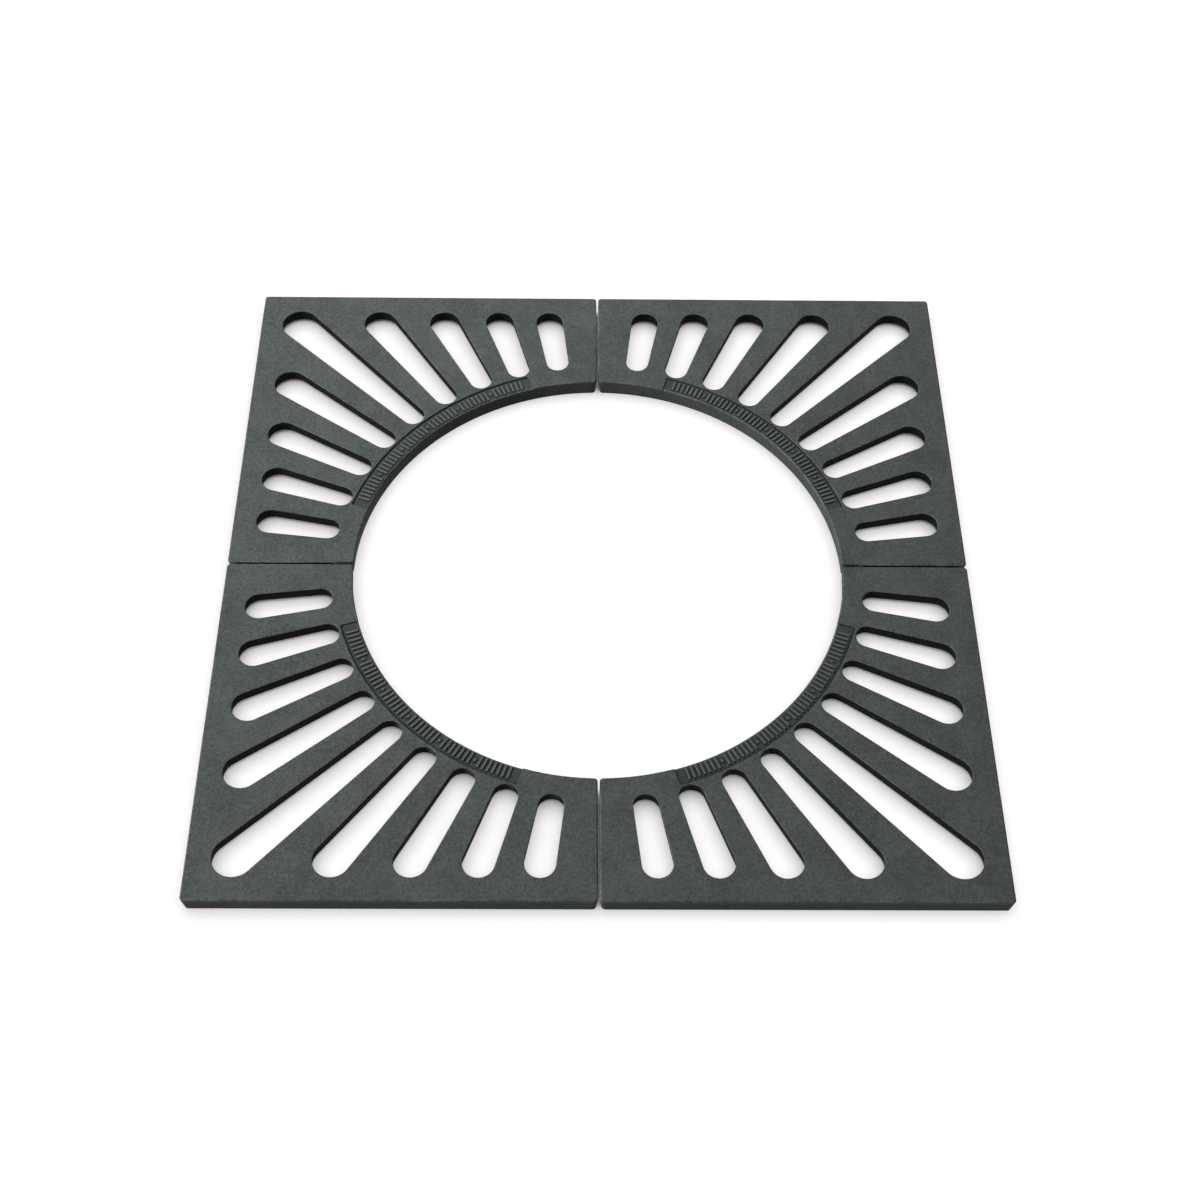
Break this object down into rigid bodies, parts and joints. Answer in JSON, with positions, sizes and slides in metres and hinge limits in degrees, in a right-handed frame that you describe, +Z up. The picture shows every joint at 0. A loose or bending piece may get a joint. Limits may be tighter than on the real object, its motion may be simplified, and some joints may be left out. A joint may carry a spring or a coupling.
{
  "type": "tree grate",
  "caption": "Square cast iron tree grate laid as loose quarter castings round a circular tree opening, with a fan of tapered drain slots and a sunk band round the opening.",
  "frame": {"origin": "on the ground, under the middle of the tree opening", "axes": "+Z up out of the ground; +Y towards the back side of the square; +X to the right seen from the front; joints lie on X and Y"},
  "size_m": [0.9998, 0.9998, 0.026],
  "materials": {
    "iron": "sand-cast, dark grey with a faint cool tint, matt and slightly grainy, edges rubbed lighter"
  },
  "bodies": {
    "front_left": {"quadrant_front_left": "iron"},
    "front_right": {"quadrant_front_right": "iron"},
    "back_right": {"quadrant_back_right": "iron"},
    "back_left": {"quadrant_back_left": "iron"}
  },
  "joints": [
    {"name": "lift_front_right", "type": "slide", "parent": "front_left", "child": "front_right", "axis": [0, 0, 1], "range_m": [0, 0.1]},
    {"name": "lift_back_right", "type": "slide", "parent": "front_left", "child": "back_right", "axis": [0, 0, 1], "range_m": [0, 0.1]},
    {"name": "lift_back_left", "type": "slide", "parent": "front_left", "child": "back_left", "axis": [0, 0, 1], "range_m": [0, 0.1]}
  ]
}
